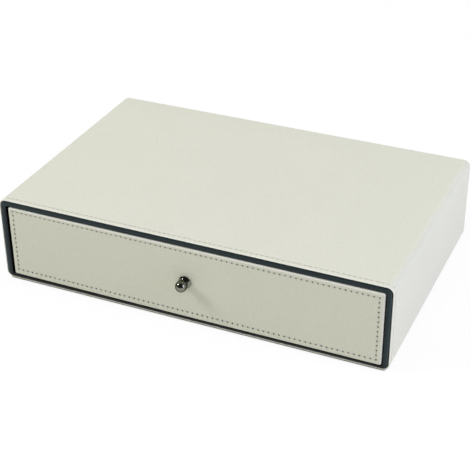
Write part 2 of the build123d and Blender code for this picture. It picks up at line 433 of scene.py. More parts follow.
def new_mesh(name, points, faces, turn_out=False, **shades):
    """A smooth mesh of points, in millimetres, in which points within MERGE_MM of each other are merged.

    Each of the shades is an attribute with one value per point. With turn_out, the faces are turned so that
    they all point outwards.
    """
    mesh = bpy.data.meshes.new(name)
    mesh.from_pydata((points.reshape(-1, 3) * MM).tolist(), [], faces)
    for shade, values in shades.items():
        layer = mesh.attributes.new(shade, "FLOAT", "POINT")
        values = np.broadcast_to(values, points.shape[:-1]).astype(np.float32)
        layer.data.foreach_set("value", values.reshape(-1))
    body = bmesh.new()
    body.from_mesh(mesh)
    bmesh.ops.remove_doubles(body, verts=body.verts, dist=MERGE_MM * MM)
    if turn_out:
        bmesh.ops.recalc_face_normals(body, faces=body.faces)
    body.to_mesh(mesh)
    body.free()
    mesh.polygons.foreach_set("use_smooth", np.ones(len(mesh.polygons), bool))
    return mesh


def grid_mesh(name, grid, close_rows=False, flip=False, **shades):
    """Joins a grid of points into quads; its columns always close on themselves.

    A quad is a point, the next row's point, the next row's next column and the next column.
    """
    index = np.arange(grid.shape[0] * grid.shape[1]).reshape(grid.shape[:2])
    index = np.vstack([index, index[:1]]) if close_rows else index
    beside = np.roll(index, -1, axis=1)
    quads = as_quads(index[:-1], index[1:], beside[1:], beside[:-1])
    quads = quads[:, ::-1] if flip else quads
    return new_mesh(name, grid, quads.tolist(), **shades)


print("points less than", MERGE_MM, "mm apart become one")

# %% [markdown]
# A mesh becomes a piece when it takes its finish and rides on the body that it moves with, and the CAD nodes
# that it stands for are hidden. Where a section has a true corner, its edges stay sharp under the smooth
# shading.

# %% Pieces
def place_piece(mesh, body, material, replaced=(), sharp_above=None):
    """Puts a mesh into the scene as a piece of a body, with its finish, and hides the CAD nodes it stands
    for.
    """
    piece = bpy.data.objects.new(mesh.name, mesh)
    bpy.context.scene.collection.objects.link(piece)
    mesh.materials.append(material)
    if sharp_above is not None:
        mesh.set_sharp_from_angle(angle=math.radians(sharp_above))
    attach(piece, body)
    if replaced:
        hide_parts(*replaced)
    print(f"{mesh.name}: {len(mesh.vertices)} points, {len(mesh.polygons)} faces")
    return piece


print("finishes ready for the pieces:", len(bpy.data.materials))

# %% [markdown]
# ## Stitching
#
# A lockstitch row is a line of needle holes at an even pitch, 4 mm here, with the thread lying on the
# surface between them. The thread pulls the leatherette down into a shallow groove, and each hole is a small
# pit. A bump could fake this, but a real row shows in outline and shadow, so the groove and pits are worked
# into the covers' own grids, whose columns crowd together at the holes.

# %% Groove, pits and holes
PITCH = 4.0
PIT_RADIUS = 0.55
PIT_DEPTH = 0.7
GROOVE_WIDTH = 0.7
GROOVE_DEPTH = 0.06
HOLE_SHADE = 2.6
COLUMNS_PER_STITCH = 10
CROWDING = 0.65
ROW_STEPS = np.array([-1.4, -1.0, -0.72, -0.5, -0.25, 0, 0.25, 0.5, 0.72, 1.0, 1.4])


def crowded(t):
    """A place counted in stitches, drawn towards the nearest hole: t minus a sine wave of t."""
    return t - CROWDING * np.sin(2 * np.pi * t) / (2 * np.pi)


def crowd(steps):
    """Shares of a run of stitches, closer together at the holes."""
    return crowded(np.arange(steps + 1) / COLUMNS_PER_STITCH) * COLUMNS_PER_STITCH / steps


def pit(along, beside):
    """How much of a pit there is: e to minus the fourth power of the distance over PIT_RADIUS.

    That is nearly one inside the pit's radius, and falls steeply to nothing past it.
    """
    return np.exp(-((along**2 + beside**2) / PIT_RADIUS**2) ** 2)


def darkness(along, beside):
    """How much painted shade the surface gets near a hole: black inside it, fading over its rim."""
    return np.clip(HOLE_SHADE * pit(along, beside), 0, 1)


def stitch_depth(along, beside):
    """Depth under the plain surface: a groove along the row plus the pits of the holes.

    The groove is a bell curve: e to minus the square of the distance over GROOVE_WIDTH.
    """
    groove = GROOVE_DEPTH * np.exp(-(beside / GROOVE_WIDTH) ** 2)
    return groove + PIT_DEPTH * pit(along, beside)


print("halfway between two holes the groove is", round(float(stitch_depth(PITCH / 2, 0)), 3), "mm deep")

# %% [markdown]
# The threads are a second mesh. A curve with a round bevel would do, but there are hundreds of stitches, so
# each is one bowed tube of few faces, and all of them are worked out in one go.

# %% Threads
THREAD_RADIUS = 0.2
THREAD_DIVE = 0.6
THREAD_RISE = 0.02
THREAD_STEPS, THREAD_SIDES = 8, 6


def thread_mesh(name, starts, ends, outward):
    """One bowed tube per stitch.

    With s from -1 to 1 along a stitch, the height is an arch, 1 minus the fourth power of s, from inside one
    hole over the surface into the next. The radius is the square root of 1 minus the tenth power of s, so
    that both ends close.
    """
    t = np.linspace(0, 1, THREAD_STEPS + 1)
    arch = 1 - (2 * t - 1) ** 4
    radius = THREAD_RADIUS * np.sqrt(np.clip(1 - (2 * t - 1) ** 10, 0, 1))
    height = (THREAD_DIVE + THREAD_RISE) * arch - THREAD_DIVE
    line = starts[:, None] * (1 - t[:, None]) + ends[:, None] * t[:, None]
    line = line + outward[:, None] * height[:, None]
    run = ends - starts
    run = run / np.linalg.norm(run, axis=1, keepdims=True)
    sideways = np.cross(run, outward)
    turn = np.linspace(0, 2 * np.pi, THREAD_SIDES, endpoint=False)
    ring = np.cos(turn)[:, None] * sideways[:, None, None] + np.sin(turn)[:, None] * outward[:, None, None]
    grid = line[:, :, None] + ring * radius[:, None, None]
    index = np.arange(grid[..., 0].size).reshape(grid.shape[:3])
    beside = np.roll(index, -1, axis=2)
    quads = as_quads(index[:, :-1], beside[:, :-1], beside[:, 1:], index[:, 1:])
    return new_mesh(name, grid, quads.tolist(), turn_out=True)


print("one stitch has", THREAD_STEPS * THREAD_SIDES, "faces")

# %% [markdown]
# ## The case's leatherette sleeve
#
# One sheet wraps the top, sides and bottom and turns in over the back. Its front edge is folded, so it is
# round, with a painted highlight along it, and it stops just behind the navy strip's face, which leaves a
# fine dark crease between them. The stitches run round the sleeve 4 mm behind that edge. A flat box would
# show none of this, so the sleeve is a profile of some forty outlines, closed into a tube with a real
# thickness.

# %% The sleeve's outlines
SLEEVE_WALL = 0.8
SLEEVE_RADIUS = 5.5
CASE_ROW_BEHIND = 4.0

case_row_y = cover.front + CASE_ROW_BEHIND
flat_across = 2 * (cover.half - SLEEVE_RADIUS)
flat_up = cover.high - cover.low - 2 * SLEEVE_RADIUS
bend_length = SLEEVE_RADIUS * np.pi / 2
columns = [round(length / PITCH) * COLUMNS_PER_STITCH for length in (flat_across, flat_up, bend_length)]
sleeve_plan = outline_plan(*columns, crowd, crowd)


def sleeve_outlines(inset):
    """The sleeve's outline drawn in by each inset, its corners tightening as it shrinks."""
    inset = np.asarray(inset, float)
    return outlines(cover.half - inset, cover.low + inset, cover.high - inset,
                    np.maximum(SLEEVE_RADIUS - inset, TIGHT_RADIUS), sleeve_plan)


print("columns across, up and round a corner:", columns)

# %% [markdown]
# The section starts inside the mouth, rounds the folded edge, runs back over the row of stitches and the
# plain wall, rounds the back edge and ends where the turned-in flap is cut. Each of its points is an inset
# from the outside and a place along the depth.

# %% The sleeve's section
SLEEVE_BACK_RADIUS = 1.5
SLEEVE_TURN_IN = 12.0
FLAP_START = 3.0
FLAP_BEVEL = 0.2


def sleeve_profile():
    """(inset, y) along the sleeve's section: inner wall, folded front edge, outer wall, turned-in back."""
    nose = SLEEVE_WALL / 2
    cosine, sine = arc(0, 180, 8)
    front = np.stack([nose + nose * cosine, cover.front + nose - nose * sine], axis=-1)
    reach = cover.back - SLEEVE_BACK_RADIUS
    row_y = case_row_y + ROW_STEPS
    wall_y = np.concatenate([np.linspace(cover.front + nose, row_y[0], 5)[1:-1], row_y,
                             np.linspace(row_y[-1], reach, 10)[1:]])
    wall = np.stack([np.zeros_like(wall_y), wall_y], axis=-1)
    cosine, sine = arc(0, 90, 6)
    heel = np.stack([SLEEVE_BACK_RADIUS * (1 - cosine), reach + SLEEVE_BACK_RADIUS * sine], axis=-1)[1:]
    flap = [(FLAP_START, cover.back), (SLEEVE_TURN_IN - FLAP_BEVEL, cover.back),
            (SLEEVE_TURN_IN, cover.back - FLAP_BEVEL), (SLEEVE_TURN_IN, cover.back - SLEEVE_WALL),
            (SLEEVE_WALL, cover.back - SLEEVE_WALL)]
    return np.vstack([front, wall, heel, flap])


profile = sleeve_profile()
print("the sleeve's section has", len(profile), "points")

# %% [markdown]
# Each point of the section becomes one row of the grid. The border between the row of stitches and the edge
# puffs up as half a sine wave, as padded leatherette does. The painted highlight is a bell curve over the
# fold, left off where the fold faces down under the case. The holes of the row take painted shade.

# %% The sleeve
CASE_PUFF = 0.12
CASE_ROW_SHADE = 0.23
HIGHLIGHT_WIDTH = 0.8
HIGHLIGHT_SHARE = 0.5

points, outward = sleeve_outlines(profile[:, 0])
place_in_stitches = crowded(np.arange(points.shape[1]) / COLUMNS_PER_STITCH)
along = (place_in_stitches - np.round(place_in_stitches))[None, :] * PITCH
on_outside = (profile[:, 0] == 0)[:, None]
beside = profile[:, 1:2] - case_row_y
between = np.clip(1 + beside / CASE_ROW_BEHIND, 0, 1)
puff = CASE_PUFF * np.sin(np.pi * between) * (beside < 0)
depth = np.where(on_outside, stitch_depth(along, beside) - puff, 0)
grid = upright(points, profile[:, 1:2], cover.middle) - upright(outward[None], 0, 0) * depth[..., None]
# Painted shade in the row's holes, and a painted highlight on the folded front edge, left off underneath.
needle = np.where(on_outside, CASE_ROW_SHADE * darkness(along, beside), 0)
fold = np.exp(-((profile[:, 1:2] - cover.front) / HIGHLIGHT_WIDTH) ** 2)
rubbed = HIGHLIGHT_SHARE * fold * (1 - np.clip(-outward[:, 1], 0, 1))
place_piece(grid_mesh("case_sleeve", grid, close_rows=True, needle=needle, rubbed=rubbed),
            "case", cream_leatherette, ["case_cover"])

# %% [markdown]
# The needle holes are every tenth point of the sleeve's own outline, so the threads dive exactly into the
# pits. On the round corners a thread bows along the middle of its two holes' outward directions.

# %% The case's stitches
row_points, row_out = sleeve_outlines([0.0])
holes = upright(row_points, case_row_y, cover.middle)[0, ::COLUMNS_PER_STITCH]
hole_out = upright(row_out[None], 0, 0)[0, ::COLUMNS_PER_STITCH]
middle_out = hole_out + np.roll(hole_out, -1, axis=0)
middle_out = middle_out / np.linalg.norm(middle_out, axis=1, keepdims=True)
place_piece(thread_mesh("case_stitches", holes, np.roll(holes, -1, axis=0), middle_out),
            "case", cream_thread)
print("case row:", len(holes), "stitches")

# %% [markdown]
# ## The navy strip
#
# The strip is leatherette folded over the boards' front edges. Folding gives it round shoulders and a face
# that crowns a little, and its fine light line along the outer shoulder is partly that and partly a painted
# highlight. Its inner leg lines the mouth of the opening; there, under the case and in the crease behind the
# outer shoulder it is painted nearly black as painted shade. The outer outline has large corners and the
# opening small ones, so the face is blended from one to the other.

# %% The strip's section
STRIP_RADIUS = SLEEVE_RADIUS - SLEEVE_WALL
OPENING_RADIUS = 1.2
LEG_WALL = 0.5
LEG_STEP = 5.0
FACE_WALL = 1.2
SHOULDER = 1.0
STRIP_CROWN = 0.12
MOUTH_SHADE = 0.9

binding = Box("front_edge_binding")
lining = Box("case_lining")


def strip_rows():
    """Sizes of the strip's outlines, their y, their painted shade and their painted highlight.

    The rows run back to front along the opening, over the face and back down the outer side. Across the
    face the sizes blend evenly from the opening's to the outer ones, and the crown is half a sine wave.
    Painted shade fills the mouth and the crease behind the outer shoulder; a painted highlight grows across
    the face to the outer shoulder.
    """
    seat = np.array([lining.half, lining.low, lining.high, TIGHT_RADIUS])
    opening = np.array([lining.half - LEG_WALL, lining.low + LEG_WALL, lining.high - LEG_WALL,
                        OPENING_RADIUS])
    outer = np.array([binding.half, binding.low, binding.high, STRIP_RADIUS])
    grow = np.array([1, -1, 1, 1])
    leg = [binding.back, binding.back - LEG_STEP, binding.front + 2 * SHOULDER]
    rows = [(opening, y, MOUTH_SHADE, 0) for y in leg]
    cosine, sine = arc(0, 90, 6)
    rows += [(opening + grow * SHOULDER * (1 - c), binding.front + SHOULDER * (1 - s), MOUTH_SHADE * c, 0)
             for c, s in zip(cosine, sine)]
    inner_edge, outer_edge = opening + grow * SHOULDER, outer - grow * SHOULDER
    for t in np.linspace(0, 1, 6)[1:-1]:
        crown = binding.front - STRIP_CROWN * np.sin(np.pi * t)
        rows.append((inner_edge * (1 - t) + outer_edge * t, crown, 0, t**4))
    rows += [(outer - grow * SHOULDER * (1 - s), binding.front + SHOULDER * (1 - c), s**2, max(1 - 2 * s, 0))
             for c, s in zip(cosine, sine)]
    face_back = binding.front + FACE_WALL
    rows += [(outer, face_back, 1, 0), (seat, face_back, 1, 0), (seat, binding.back, 1, 0)]
    return [np.array(column, float) for column in zip(*rows)]


sizes, strip_y, row_shade, rub = strip_rows()
print("the strip's section has", len(strip_y), "points")

# %% [markdown]
# The painted shade and the painted highlight of a row hold all the way round it, but for two things: the
# strip's underside takes painted shade across its whole face, and only its upright stretches take the
# painted highlight.

# %% The navy strip
UNDERSIDE_SHADE = 0.9

points, outward = outlines(*sizes.T, outline_plan(60, 14, 10))
facing_down = np.clip(-outward[:, 1], 0, 1)
# Painted shade in the mouth, the crease and the underside; a painted highlight on the upright shoulders.
needle = np.maximum(row_shade[:, None], UNDERSIDE_SHADE * facing_down)
rubbed = HIGHLIGHT_SHARE * rub[:, None] * np.abs(outward[:, 0])
grid = upright(points, strip_y[:, None], binding.middle)
place_piece(grid_mesh("front_edge_strip", grid, close_rows=True, needle=needle, rubbed=rubbed),
            "case", navy_leatherette, ["front_edge_binding"], sharp_above=50)

# %% [markdown]
# ## The drawer front
#
# The drawer front is a board wrapped in the same leatherette, folded over all four edges and stitched in one
# rectangle. Its grid starts on the middle line of the face, spreads outwards ring by ring, closer together
# where the stitches are, turns over the edges and comes back behind to the board. First come the rings of
# the face and of the round edge, and the whole number of stitches that fits along each side.

# %% The drawer front's rings
FRONT_RADIUS = 1.2
FRONT_EDGE = 0.7
ROW_INSET = 3.7
FIELD_RINGS = (20, 12, 8, 6.2)

row_across = 2 * (panel.half - ROW_INSET)
row_up = panel.high - panel.low - 2 * ROW_INSET
front_across = round(row_across / PITCH)
front_up = round(row_up / PITCH)
front_plan = outline_plan(front_across * COLUMNS_PER_STITCH, front_up * COLUMNS_PER_STITCH, 6, crowd)


def front_rings():
    """(inset, y) of the rings on the face and round the edge, from the middle line outwards."""
    middle = (panel.high - panel.low) / 2
    flat = np.concatenate([[middle - HAIR], FIELD_RINGS, ROW_INSET - ROW_STEPS])
    flat = np.concatenate([flat, np.linspace(flat[-1], FRONT_EDGE, 4)[1:-1]])
    face = np.stack([flat, np.full_like(flat, panel.front)], axis=-1)
    cosine, sine = arc(0, 90, 6)
    edge = np.stack([FRONT_EDGE * (1 - sine), panel.front + FRONT_EDGE * (1 - cosine)], axis=-1)
    return np.vstack([face, edge])


rings = front_rings()
print("drawer front:", len(rings), "rings,", front_across, "by", front_up, "stitches")

# %% [markdown]
# A machine would draw the front dead square. This one was sewn by hand and eye, so its rows and its bottom
# edge climb a little to the left, which is a last small move of the finished grid and of its stitches.

# %% Out of square
ROW_TURN = 0.005
LOW_LIFT = 0.7


def as_sewn(points):
    """The cover as it was sewn, a little out of square.

    The stitched rectangle rises to the left by ROW_TURN times the distance from the right end, which fades
    to nothing at the top and bottom edges. The bottom edge rises LOW_LIFT from the middle to the left end.
    """
    x, z = points[..., 0], points[..., 2]
    low_row, high_row = panel.low + ROW_INSET, panel.high - ROW_INSET
    row_share = np.interp(z, [panel.low, low_row, high_row, panel.high], [0, 1, 1, 0])
    low_share = np.interp(z, [panel.low, low_row], [1, 0])
    leftward = np.clip((panel.middle - x) / panel.half, 0, 1)
    lift = row_share * ROW_TURN * (panel.right - x) + low_share * LOW_LIFT * leftward
    return np.stack([x, points[..., 1], z + lift], axis=-1)


print("the row's left end sits", round(ROW_TURN * 2 * panel.half, 2), "mm higher than its right end")

# %% [markdown]
# The face is pulled very slightly in at the stitches, and the border outside them puffs up as half a sine
# wave, so it catches the light. A column's distance to the nearest hole is counted along its own side. The
# holes take painted shade, and the rim a painted highlight, left off its left edge.

# %% The drawer front's face
BORDER_PUFF = 0.15

inset = rings[:, 0]
points, outward = outlines(panel.half - inset, panel.low + inset, panel.high - inset,
                           np.maximum(FRONT_RADIUS - inset, HAIR), front_plan)
beside = inset[:, None] - ROW_INSET
level_sides = np.abs(outward[:, 1]) > 0.5
row_half, row_mid = row_across / 2, (panel.low + panel.high) / 2
run = np.where(level_sides[None, :], points[..., 0] + row_half, points[..., 1] - row_mid + row_up / 2)
pitch = np.where(level_sides, row_across / front_across, row_up / front_up)[None, :]
along = (run + pitch / 2) % pitch - pitch / 2
on_face = rings[:, 1:2] == panel.front
puff = BORDER_PUFF * np.sin(np.pi * np.clip(inset[:, None] / ROW_INSET, 0, 1))
face = upright(points, rings[:, 1:2], panel.middle)
face[..., 1] += np.where(on_face, stitch_depth(along, beside) - puff, 0)
# Painted shade in the holes; a painted highlight on the rim, left off the left edge.
face_needle = np.where(on_face, darkness(along, beside), 0)
face_rubbed = HIGHLIGHT_SHARE * np.exp(-(inset[:, None] / HIGHLIGHT_WIDTH) ** 2) * (outward[:, 0] > -0.5)
print("stitches of", round(row_across / front_across, 3), "and", round(row_up / front_up, 3), "mm")

# %% [markdown]
# Behind the round edge the cover runs back along the board. At the sides and the top its cut edge lies over
# the tray's wrap; along the bottom it ends at the board, so that edge's depth changes on the way round. The
# last outlines close the form behind the face, so that it is one solid skin.

# %% The drawer front's edges and back
SOFT = 0.2
BOARD_CORNER = 1.0

panel_board = Box("drawer_front_board")
wrap = Box("drawer_wrap")
board_middle = (panel_board.low + panel_board.high) / 2
board_reach = (panel_board.high - panel_board.low) / 2 - HAIR
under = panel.low + HAIR
on_wrap = [wrap.half, under, wrap.high, TIGHT_RADIUS]
on_board = [panel_board.half, panel_board.low, panel_board.high, BOARD_CORNER]
side_sizes = np.array([
    [panel.half, panel.low, panel.high, FRONT_RADIUS],
    [panel.half - SOFT, under, panel.high - SOFT, FRONT_RADIUS - SOFT],
    on_wrap, on_wrap, on_board, on_board,
    [panel_board.half - board_reach, board_middle - HAIR, board_middle + HAIR, HAIR / 2],
])
behind = np.clip(outward[:, 1] + 1, 0, 1)
turned_edge = panel_board.back + (panel.back - panel_board.back) * behind
flat = np.ones_like(behind)
side_y = np.array([turned_edge - SOFT * behind, turned_edge, turned_edge, flat * panel_board.back,
                   flat * panel_board.back, flat * panel_board.front, flat * panel_board.front])
side_points, _ = outlines(*side_sizes.T, front_plan)
grid = as_sewn(np.vstack([face, upright(side_points, side_y, panel.middle)]))
unshaded = np.zeros((len(side_sizes), grid.shape[1]))
place_piece(grid_mesh("drawer_front_leatherette", grid, needle=np.vstack([face_needle, unshaded]),
                      rubbed=np.vstack([face_rubbed, unshaded])),
            "drawer", cream_leatherette, ["drawer_front_cover"])

# %% [markdown]
# The threads of the drawer front dive into the cover's own needle holes, and move out of square with them.

# %% The drawer front's stitches
def rectangle_holes():
    """Needle holes of the stitched rectangle, anticlockwise from its low left corner."""
    x = panel.middle + np.linspace(-row_half, row_half, front_across + 1)
    z = row_mid + np.linspace(-row_up / 2, row_up / 2, front_up + 1)
    bottom = np.stack([x[:-1], np.full(front_across, z[0])], axis=-1)
    right = np.stack([np.full(front_up, x[-1]), z[:-1]], axis=-1)
    top = np.stack([x[:0:-1], np.full(front_across, z[-1])], axis=-1)
    left = np.stack([np.full(front_up, x[0]), z[:0:-1]], axis=-1)
    return np.vstack([bottom, right, top, left])


holes = as_sewn(upright(rectangle_holes()[None], panel.front + GROOVE_DEPTH, 0)[0])
facing = np.tile([0.0, -1.0, 0.0], (len(holes), 1))
place_piece(thread_mesh("drawer_front_stitches", holes, np.roll(holes, -1, axis=0), facing),
            "drawer", cream_thread)
print("drawer front row:", len(holes), "stitches")

# %% [markdown]
# ## The knob
#
# Knob and collar come off a lathe, so each is a profile of (radius, height) spun round the axis. The profile
# keeps what a lathe leaves: a small fillet under the ball, a soft bevel where the collar's slope meets its
# rim, and a ball that is a true circle, because a mirror shows any dent in it.

# %% The ball knob
collar_box = Box("knob_base")
BALL_RADIUS = (ball_box.high - ball_box.low) / 2
COLLAR_HEIGHT = collar_box.back - collar_box.front
NECK_RADIUS = 2.2
NECK_FILLET = 0.25


def turned_mesh(name, radius, height, sides=64):
    """Spins a profile about the knob's axis: x = r cos a, z = r sin a, and y runs forwards with height."""
    a = np.linspace(0, 2 * np.pi, sides, endpoint=False)
    x = radius[:, None] * np.cos(a) + ball_box.middle
    z = radius[:, None] * np.sin(a) + knob_z
    y = np.broadcast_to(collar_box.back - height[:, None], x.shape)
    return grid_mesh(name, np.stack([x, y, z], axis=-1), flip=True)


def ball_profile():
    """A neck with a small fillet at its foot, then the ball from the neck's circle to its crown.

    The ball's radius and height are BALL_RADIUS times the sine and minus the cosine of an angle.
    """
    centre = collar_box.back - ball_box.front - BALL_RADIUS
    cosine, sine = arc(0, 90, 5)
    foot_radius = NECK_RADIUS + NECK_FILLET * (1 - sine)
    foot_height = COLLAR_HEIGHT + NECK_FILLET * (1 - cosine)
    angle = np.linspace(math.asin(NECK_RADIUS / BALL_RADIUS), np.pi, 44)
    radius = np.concatenate([[0.0], foot_radius, BALL_RADIUS * np.sin(angle)])
    height = np.concatenate([[COLLAR_HEIGHT], foot_height, centre - BALL_RADIUS * np.cos(angle)])
    return np.maximum(radius, 0), height


place_piece(turned_mesh("ball_knob", *ball_profile()), "drawer", black_nickel,
            ["knob_ball"], sharp_above=40)

# %% [markdown]
# The collar is a low cone between the knob and the drawer front. Its slope is a little hollow, and its rim
# is upright with broken edges, so the mirror bends sharply there.

# %% The collar
COLLAR_RADIUS = (collar_box.high - collar_box.low) / 2
COLLAR_RIM = 0.9
COLLAR_FACE = 3.5
RIM_BEVEL = 0.15
RIM_ROUND = 0.2
SLOPE_STEP = 0.1
HOLLOW = 0.25


def collar_profile():
    """A rim with small rounds, a hollow slope up to the seat of the knob, and a flat underside.

    Along the slope the radius changes evenly with t. The height is a share HOLLOW of the square of t, and
    the rest of t itself, which hollows the slope a little.
    """
    rim_radius = COLLAR_RADIUS - RIM_ROUND * np.array([1, 0.3, 0, 0, 0.25])
    rim_height = [0, 0.3 * RIM_ROUND, RIM_ROUND, COLLAR_RIM - 0.6 * RIM_ROUND, COLLAR_RIM + RIM_BEVEL / 5]
    t = np.linspace(0, 1, 9)
    slope_foot = COLLAR_RADIUS - RIM_BEVEL
    slope_radius = slope_foot + (COLLAR_FACE - slope_foot) * t
    climb = COLLAR_HEIGHT - COLLAR_RIM - 2 * SLOPE_STEP
    slope_height = COLLAR_RIM + SLOPE_STEP + climb * ((1 - HOLLOW) * t + HOLLOW * t**2)
    seat_radius = [COLLAR_FACE - 0.06, COLLAR_FACE - 0.22, 0]
    seat_height = [COLLAR_HEIGHT - 0.03, COLLAR_HEIGHT, COLLAR_HEIGHT]
    return (np.concatenate([[0], rim_radius, slope_radius, seat_radius]),
            np.concatenate([[0], rim_height, slope_height, seat_height]))


place_piece(turned_mesh("knob_collar", *collar_profile()), "drawer", black_nickel,
            ["knob_base"], sharp_above=40)

# %% [markdown]
# ## Back panel, felt and floor pad
#
# Three glued sheets share one function: rings of one outline that shrinks to its middle line, over a face
# with a round edge. The back is closed by a leatherette panel over card. Its rim, along the seam with the
# sleeve, is painted darker as painted shade.

# %% Back panel
PANEL_EDGE = 0.45
PANEL_CORNER = 3.0
SEAM_SHADE = 0.4
RING_SHARES = np.array([0.6, 0.3, 0.12])
UNDER_BEVEL = 0.05
sheet_plan = outline_plan(40, 12, 8)


def sheet_rings(box_half, low, high, corner, edge, thickness, crown=0.0):
    """Rings of a closed sheet: middle line, crowned face, round edge, back of the sheet, middle line.

    The face stands crown above its rim at the middle and falls to it as a sine of the distance in.
    """
    middle = (high - low) / 2
    inset = np.concatenate([[middle - HAIR], middle * RING_SHARES, [edge * 2]])
    rise = crown * np.sin(np.pi / 2 * np.clip(inset / (middle * RING_SHARES[0]), 0, 1))
    cosine, sine = arc(0, 90, 5)
    inset = np.concatenate([inset, edge * (1 - sine), [0.0, UNDER_BEVEL, middle - HAIR]])
    fall = np.concatenate([-rise, edge * (1 - cosine), [thickness - UNDER_BEVEL, thickness, thickness]])
    radius = np.maximum(corner - inset, HAIR / 2)
    points, _ = outlines(box_half - inset, low + inset, high - inset, radius, sheet_plan)
    return points, fall[:, None]


back_box = Box("case_back_cover")
points, fall = sheet_rings(back_box.half, back_box.low, back_box.high, PANEL_CORNER, PANEL_EDGE,
                           back_box.back - back_box.front)
grid = upright(points, back_box.back - fall, back_box.middle)
# Painted shade along the panel's rim, where it meets the sleeve.
seam = SEAM_SHADE * np.clip(fall / PANEL_EDGE, 0, 1)
place_piece(grid_mesh("back_leatherette_panel", grid, flip=True, needle=seam), "case",
            cream_leatherette, ["case_back_cover"])

# %% [markdown]
# The felt under the case is a plain sheet with a soft rim, cut a little smaller than the case, so from the
# front it is only a dark line.

# %% Felt sheet
FELT_EDGE = 0.3
FELT_CORNER = 3.0

felt_box = Box("base_felt")
points, fall = sheet_rings(felt_box.half, felt_box.front, felt_box.back, FELT_CORNER, FELT_EDGE,
                           felt_box.high - felt_box.low)
grid = level(points, felt_box.high - fall, felt_box.middle)
place_piece(grid_mesh("felt_sheet", grid), "case", pressed_felt, ["base_felt"])

# %% [markdown]
# In the drawer a thin padded sheet lies glued on the floor. Cloth simulation would find no folds in it, so
# its form is a formula: it crowns by half a millimetre, and its edges curve down where they meet the walls.

# %% Floor pad
PAD_EDGE = 0.7
PAD_CORNER = 1.0
PAD_CROWN = 0.5

pad_box = Box("drawer_floor_pad")
points, fall = sheet_rings(pad_box.half, pad_box.front, pad_box.back, PAD_CORNER, PAD_EDGE,
                           pad_box.high - pad_box.low, PAD_CROWN)
grid = level(points, pad_box.high - fall, pad_box.middle)
pad = place_piece(grid_mesh("drawer_floor_padding", grid), "drawer", navy_suede,
                  ["drawer_floor_pad"])

# %% [markdown]
# ## The tray's wrap
#
# The tray's walls are wrapped from outside over their top edges. Seen in the open drawer, that top edge is
# what tells leatherette from painted board: it is round and slightly soft. The wrap is a section carried
# along a U-shaped path: along one side, across the back and along the other side.

# %% The tray's wrap
WRAP_WALL = 0.5
WRAP_CORNER = 1.5
WRAP_ROUND = 0.7
INNER_CORNER = 0.05
FLAP_DROP = 0.1
FLAP_SLANT = 0.3

tray_side = Box("drawer_right_board")


def u_path(inset, steps=8):
    """A U open to the front, drawn in by inset: a side, a quarter circle, the back, another, a side."""
    half, back = wrap.half - inset, wrap.back - inset
    r = max(WRAP_CORNER - inset, INNER_CORNER)
    a = np.linspace(0, np.pi / 2, steps + 1)
    first = np.stack([half - r + r * np.cos(a), back - r + r * np.sin(a)], axis=-1)
    second = np.stack([-half + r - r * np.sin(a), back - r + r * np.cos(a)], axis=-1)
    path = np.vstack([[[half, wrap.front]], first, second, [[-half, wrap.front]]])
    return path + [wrap.middle, 0]


def wrap_section():
    """(inset, z) of the wrap: outside up, over the top's two quarter circles, down to the flap, and back."""
    full = WRAP_WALL + (tray_side.right - tray_side.left) + WRAP_WALL
    cosine, sine = arc(0, 90, 5)
    outer_round = [(WRAP_ROUND * (1 - c), wrap.high - WRAP_ROUND * (1 - s)) for c, s in zip(cosine, sine)]
    inner_round = [(full - WRAP_ROUND * (1 - s), wrap.high - WRAP_ROUND * (1 - c))
                   for c, s in zip(cosine, sine)]
    flap = [(full, wrap.high - WRAP_ROUND - FLAP_DROP),
            (full - FLAP_SLANT, wrap.high - WRAP_ROUND - FLAP_DROP / 2),
            (WRAP_WALL, wrap.high - WRAP_WALL - FLAP_DROP / 2), (WRAP_WALL, wrap.low)]
    return [(0, wrap.low)] + outer_round + inner_round + flap


section = wrap_section()
path = np.stack([u_path(inset) for inset, _ in section])
heights = np.array([z for _, z in section])[:, None]
grid = level(path, heights, 0)
index = np.arange(grid[..., 0].size).reshape(grid.shape[:2])
below = np.roll(index, -1, axis=0)
quads = as_quads(index[:, :-1], index[:, 1:], below[:, 1:], below[:, :-1])
caps = [index[::-1, 0].tolist(), index[:, -1].tolist()]
place_piece(new_mesh("tray_wrap", grid, quads.tolist() + caps, turn_out=True), "drawer", navy_leatherette,
            ["drawer_wrap"], sharp_above=40)

# %% [markdown]
# ## Finishes of the CAD nodes
#
# The boards, linings, card, screw and washer are exact as the CAD has them: sawn edges, flat sheets and a
# slotted head. They keep their meshes and get the materials made above.

# %% Finishes of the CAD nodes
slot_of = {part["node"]: part["material_slot"] for part in frame["record"]["subparts"]}
material_of = {
    "cream_leatherette": cream_leatherette, "navy_leatherette": navy_leatherette, "navy_suede": navy_suede,
    "fibreboard": fibreboard, "grey_card": grey_card, "base_felt": pressed_felt,
    "black_nickel": black_nickel, "zinc_steel": zinc_steel,
}
for name, node in nodes.items():
    node.data.materials.clear()
    node.data.materials.append(material_of[slot_of[name]])
print("finished", len(nodes), "CAD nodes")

# %% [markdown]
# ## Studio
#
# The picture is a product shot on white. The floor is matt white paint, and to the camera it also glows a
# little, which hides all but part of the object's soft shadow. Ambient occlusion over a millimetre darkens
# it in a line where the case nearly touches. Mirrors see the same floor as the camera.

# %% Floor
FLOOR_SIZE = 16.0
FLOOR_GLOW = 0.88
CONTACT_MM = 1.1
CONTACT_POWER = 4.0

floor_mesh = bpy.data.meshes.new("studio_floor")
reach = FLOOR_SIZE / 2
floor_mesh.from_pydata([(-reach, -reach, 0), (reach, -reach, 0), (reach, reach, 0), (-reach, reach, 0)],
                       [], [(0, 1, 2, 3)])
floor = bpy.data.objects.new("studio_floor", floor_mesh)
bpy.context.scene.collection.objects.link(floor)

